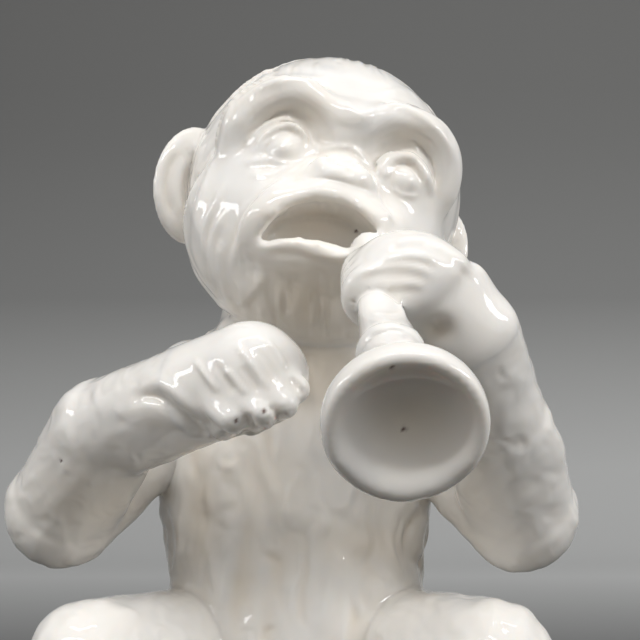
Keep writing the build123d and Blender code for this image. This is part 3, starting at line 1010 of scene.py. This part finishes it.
coat = np.zeros(COUNT)
for seed, (name, (spacing, length, rise)) in enumerate(COAT.items()):
    way = np.array([0.0, 0, 1]) if name == "trunk" else along_of(place, name)
    mine = np.flatnonzero(share_of[name])
    spacing, length = spacing * MM, length * MM
    coat[mine] = rise * strands(place[mine], way, spacing, length, seed)
    coat[mine] += FINE_SHARE * rise * strands(place[mine], way, spacing / 2, length / 2, seed + FINE_SEED)
coat *= SEAT_SHARE + (1 - SEAT_SHARE) * ease(place[:, 2] / SEAT_FADE)
print("coat on the trunk and the limbs, highest mm:", round(coat.max(), 2))

# %% Comb the head
CROWN_SPACING = 4 * MM
CROWN_STRETCH = [1, 0.18, 0.18]
CHEEK_SPACING = 3.6 * MM
CHEEK_LENGTH = 30 * MM
CHEEK_WAY = np.array([0.15, -0.2, 1.0]) / 1.03
HEAD_RISE = 0.40
SIDE_START, SIDE_FADE = 0.35, 0.4
FACE_MIDDLE = (342, 178)
FACE_SIZE = (116, 116)
FACE_START, FACE_FADE = 0.8, 0.5

head_mine = np.flatnonzero(share_of["head"])
head_normal = outward(place)[head_mine]
sideways = ease((np.abs(head_normal[:, 0]) - SIDE_START) / SIDE_FADE)
back_way = np.array([0.0, 1, 0])
crown = strands(place[head_mine] * CROWN_STRETCH, back_way, CROWN_SPACING, CROWN_SPACING, 9)
cheek = strands(place[head_mine], CHEEK_WAY, CHEEK_SPACING, CHEEK_LENGTH, 11)
head_pixel, _ = seen(place[head_mine])
head_front = Carver(place, "head").reach[head_mine]
face_gap = (((head_pixel - FACE_MIDDLE) / FACE_SIZE) ** 2).sum(1)
off_face = ease((face_gap - FACE_START) / FACE_FADE)
bare = 1 - head_front * (1 - off_face)
coat[head_mine] = HEAD_RISE * bare * (crown * (1 - sideways) + cheek * sideways)
print("corners of the head with a coat:", int((bare > 0.5).sum()))

# %% Even the coat out at the joints
JOINT_RINGS = 8
JOINT_ROUNDS = 40
JOINT_STEP = 0.6

joint = np.zeros(COUNT, bool)
for column in beside.T:
    joint |= nearest_solid[column] != nearest_solid
for _ in range(JOINT_RINGS):
    joint = joint[beside].any(axis=1)
chosen = np.flatnonzero(joint)
for _ in range(JOINT_ROUNDS):
    coat[chosen] += JOINT_STEP * pull(coat[:, None], chosen)[:, 0]
place = place + outward(place) * (coat * MM)[:, None]
print("corners at the joints:", len(chosen))

# %% [markdown]
# ### Strands drawn one by one
# A few long strands down the cheek, over the crest of the head and under the chin are plain to see in the
# photograph, so they are drawn in their own places over the random ones.

# %% Strands that the photograph shows
CHEEK_STRANDS = [
    [(210, 122), (202, 150), (192, 186), (190, 226)],
    [(220, 140), (208, 176), (198, 206), (196, 244)],
    [(228, 176), (214, 206), (204, 232), (206, 268)],
    [(226, 206), (214, 236), (212, 262), (218, 292)],
    [(222, 236), (220, 262), (224, 290), (234, 306)],
]
CREST_STRANDS = [
    [(224, 130), (234, 102), (254, 84), (284, 72), (314, 73), (338, 84)],
    [(392, 92), (412, 96), (432, 108), (448, 128), (458, 152)],
    [(340, 80), (372, 88), (404, 84), (430, 96)],
]
JAW_EDGE = [(268, 274), (258, 290), (246, 304), (232, 307)]
THROAT_FOLDS = [
    [(322, 262), (319, 284), (317, 306), (318, 330)],
    [(296, 268), (292, 290), (286, 320)],
    [(340, 272), (342, 300), (340, 330)],
]
cheek = Carver(place, "head", "trunk")
for strand in CHEEK_STRANDS:
    cheek.line(strand, width=4, rise=0.6)
for strand in CREST_STRANDS:
    cheek.line(strand, width=4, rise=-0.35)
cheek.fold(JAW_EDGE, edge=5, fade=20, rise=0.6)
for fold in THROAT_FOLDS:
    cheek.line(fold, width=7, rise=-0.4)
place = cheek.laid()
place = soften(place, 1)
place = np.clip(place, np.array(cad_low), np.array(cad_high))

# %% [markdown]
# ## The glaze
# The glaze is a thick clear coat over a warm white body. Where it gathers it looks creamier, and dust of the
# kiln leaves a few dark pits in it. How much glaze gathered at each corner was measured above, and it is
# kept on the mesh as a value that the material reads. The same creamy tint in the joints, the hollows and
# the grooves of the coat is also painted shade. A few places are given more painted shade, warm and darker,
# than their hollows alone would give them, such as the throat, the chest behind the horn and the dish of the
# horn, where glaze faces glaze, and these are listed.

# %% Where the glaze is creamy, with painted shade in the hollows and grooves
HOLLOW_GAIN = 20
DEEP_GROOVE = 0.8
DEEP_POOL = 1.2
POOL_CREAM_AND_SHADE, HOLLOW_CREAM_AND_SHADE, GROOVE_CREAM_AND_SHADE = 0.45, 0.6, 0.55
CREAM_AND_SHADE_ROUNDS = 12
CREAM_AND_SHADE_SPREAD = 0.5
HOLLOW_ROUNDS = 3

sunk = np.einsum("ij,ij->i", pull(soften(place, HOLLOW_ROUNDS)), outward(place)) / MM
hollow = np.clip(sunk * HOLLOW_GAIN, 0, 1)
groove = np.clip(-coat / DEEP_GROOVE, 0, 1) * share_of["trunk"]
# the creamy tint is glaze that gathers in the joints and hollows, and also painted shade in the hollows and
# in the grooves of the coat
cream = POOL_CREAM_AND_SHADE * ease(pooled / DEEP_POOL) + HOLLOW_CREAM_AND_SHADE * hollow + GROOVE_CREAM_AND_SHADE * groove
cream = np.clip(cream, 0, 1)
for _ in range(CREAM_AND_SHADE_ROUNDS):
    cream = cream + CREAM_AND_SHADE_SPREAD * pull(cream[:, None])[:, 0]
print("creamy corners:", int((cream > 0.5).sum()))

# %% Painted shade where glaze faces glaze
# middle and size in pixels, and how much painted shade
PAINTED_SHADE_SPOTS = {
    "head": [
        ((302, 300), (50, 44), 0.85),
        ((300, 112), (44, 24), 0.5),
        ((412, 140), (30, 22), 0.5),
        ((318, 222), (50, 24), 0.7),
    ],
    "trunk": [
        ((310, 370), (60, 54), 0.9),
        ((262, 470), (44, 50), 0.45),
        ((370, 545), (50, 26), 0.6),
        ((200, 500), (16, 60), 0.7),
    ],
    "horn_bell": [((410, 412), (50, 42), 0.75)],
    "left_arm": [((476, 470), (26, 70), 0.35)],
    "right_arm": [((96, 500), (60, 40), 0.45), ((196, 418), (40, 16), 0.4)],
    "left_hand": [((436, 330), (16, 14), 0.8)],
}
# painted shade laid into the creamy tint: under the chin, in the sockets and the mouth, on the chest, under
# the arms, in the palm and in the dish of the horn
for name, spots in PAINTED_SHADE_SPOTS.items():
    spot_carver = Carver(place, name)
    for middle, size, much in spots:
        gap = (spot_carver.pixel - np.array(middle)) / np.array(size)
        cream = np.maximum(cream, much * np.exp(-(gap**2).sum(1)) * spot_carver.reach)
print("creamy corners with those:", int((cream > 0.5).sum()))

# %% Kiln pits
PIT_DEPTH = 0.25
# middle and size in pixels
PITS = {
    "right_hand": [((236, 421), 2.2), ((264, 411), 2.6)],
    "horn_bell": [((404, 429), 2.4), ((392, 368), 1.4)],
    "right_arm": [((61, 461), 1.3)],
    "head": [((356, 231), 1.6)],
}
pit = np.zeros(COUNT)
for name, spots in PITS.items():
    spot_carver = Carver(place, name)
    for middle, size in spots:
        spot_carver.mound(middle, (size, size), -PIT_DEPTH)
        gap = ((spot_carver.pixel - np.array(middle)) ** 2).sum(1) / size**2
        pit = np.maximum(pit, np.exp(-(gap**2)) * spot_carver.reach)
    place = spot_carver.laid()
print("pitted corners:", int((pit > 0.5).sum()))

# %% [markdown]
# ## The porcelain material
# The glaze is glassy and the body under it is white and a little see-through. A glass shell over a second
# body would be the full way and slow, so one shader does both: a smooth white with some light below the
# surface and the reflections of glass. Its colour is the white, then faint grey clouds from a noise, then
# the creamy tint with its painted shade and the pits that were kept at the corners.

# %% Porcelain
CLAY_WHITE = (0.88, 0.85, 0.805, 1)
CREAM_AND_SHADE_TONE = (0.80, 0.70, 0.56, 1)
CLOUD_TONE = (0.76, 0.75, 0.735, 1)
PIT_TONE = (0.09, 0.03, 0.02, 1)
CLOUD_STOPS = [(0.42, 0.0), (0.70, 0.75)]
CREAM_AND_SHADE_STRENGTH = 0.7
SHINE = {
    "Roughness": 0.05,
    "IOR": 1.5,
    "Subsurface Weight": 0.25,
    "Subsurface Radius": (0.003, 0.0025, 0.002),
    "Subsurface Scale": 1.0,
}

glaze, glaze_shader, glaze_wire = new_material("white_glaze")


def kept_value(name):
    """A value that was kept at the corners of the skin."""
    made = glaze_wire.node("ShaderNodeAttribute", {"attribute_name": name})
    return Wire(glaze.node_tree, made.outputs["Fac"])


def blended(factor, first, second):
    """One colour laid over another by a share."""
    made = glaze_wire.node("ShaderNodeMix", {"data_type": "RGBA"}, i0=factor, i6=first, i7=second)
    return Wire(glaze.node_tree, made.outputs[2])


glaze_place = Wire(glaze.node_tree, glaze_wire.node("ShaderNodeTexCoord").outputs["Object"])
cloud_noise = glaze_wire.node("ShaderNodeTexNoise", Vector=glaze_place, Scale=38.0, Detail=3.0, Roughness=0.6)
cloud_spread = Wire(glaze.node_tree, cloud_noise.outputs["Fac"])
clouds = glaze_wire.node("ShaderNodeValToRGB", {"stops": CLOUD_STOPS}, Fac=cloud_spread)
tone = blended(Wire(glaze.node_tree, clouds.outputs["Color"]), CLAY_WHITE, CLOUD_TONE)
# the creamy tint over the white: gathered glaze and painted shade
tone = blended(kept_value("cream") * CREAM_AND_SHADE_STRENGTH, tone, CREAM_AND_SHADE_TONE)
tone = blended(kept_value("pit"), tone, PIT_TONE)
glaze.node_tree.links.new(tone.socket, glaze_shader.inputs["Base Color"])
for key, value in SHINE.items():
    glaze_shader.inputs[key].default_value = value
print("glaze nodes:", len(glaze.node_tree.nodes))

# %% [markdown]
# ## Parting the skin
# The figure is listed by its parts, so each part becomes a closed piece of its own. The skin is cut where
# the nearest solid changes. The open rim is drawn a little way in and covered, and the facing of the whole
# skin is kept at the corners, so no seam shows where two pieces meet.

# %% Part the skin at the joints
RIM_DEPTH = 1.5 * MM


def closed_piece(name, owner, normal):
    """The skin of one solid as a closed mesh: its rim is drawn straight in and then covered."""
    mine = quads[owner == NODES.index(name)]
    used, compact = np.unique(mine, return_inverse=True)
    open_mesh = bpy.data.meshes.new(name + "_open")
    open_mesh.from_pydata(place[used], [], compact.reshape(-1, 4).tolist())
    part = bmesh.new()
    part.from_mesh(open_mesh)
    bpy.data.meshes.remove(open_mesh)
    part.verts.ensure_lookup_table()
    rim = [e for e in part.edges if e.is_boundary]
    drawn = bmesh.ops.extrude_edge_only(part, edges=rim)
    for vert in [g for g in drawn["geom"] if isinstance(g, bmesh.types.BMVert)]:
        root = min((e.other_vert(vert) for e in vert.link_edges), key=lambda v: (v.co - vert.co).length)
        vert.co -= Vector(normal[used[root.index]]) * RIM_DEPTH
    bmesh.ops.holes_fill(part, edges=[e for e in part.edges if e.is_boundary], sides=0)
    bmesh.ops.recalc_face_normals(part, faces=part.faces)
    mesh = bpy.data.meshes.new(name + "_skin")
    part.to_mesh(mesh)
    part.free()
    mesh.shade_smooth()
    # the creamy tint, gathered glaze and painted shade, is kept at the corners with the pits
    for key, values in (("cream", cream), ("pit", pit)):
        kept = np.zeros(len(mesh.vertices))
        kept[: len(used)] = values[used]
        mesh.attributes.new(key, "FLOAT", "POINT").data.foreach_set("value", kept.astype(np.float32))
    facing = np.zeros((len(mesh.vertices), 3))
    facing[: len(used)] = normal[used]
    mesh.normals_split_custom_set_from_vertices(facing.tolist())
    return mesh


owner = nearest_solid[quads[:, 0]]
normal = outward(place)
for name in NODES:
    mesh = closed_piece(name, owner, normal)
    mesh.materials.append(glaze)
    piece = bpy.data.objects.new(name + "_skin", mesh)
    bpy.context.scene.collection.objects.link(piece)
    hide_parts(name)
    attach(piece, "root")
    print(name, "faces:", len(mesh.polygons))

# %% [markdown]
# ## Measuring
# The box of the finished figure is written beside that of the solids, to show that nothing reaches past
# them.

# %% Measure and finish
low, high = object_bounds()
sizes = {"cad": [list(cad_low), list(cad_high)], "visual": [list(low), list(high)]}
print("visual box in mm:", [round(x / MM, 1) for x in list(low) + list(high)])
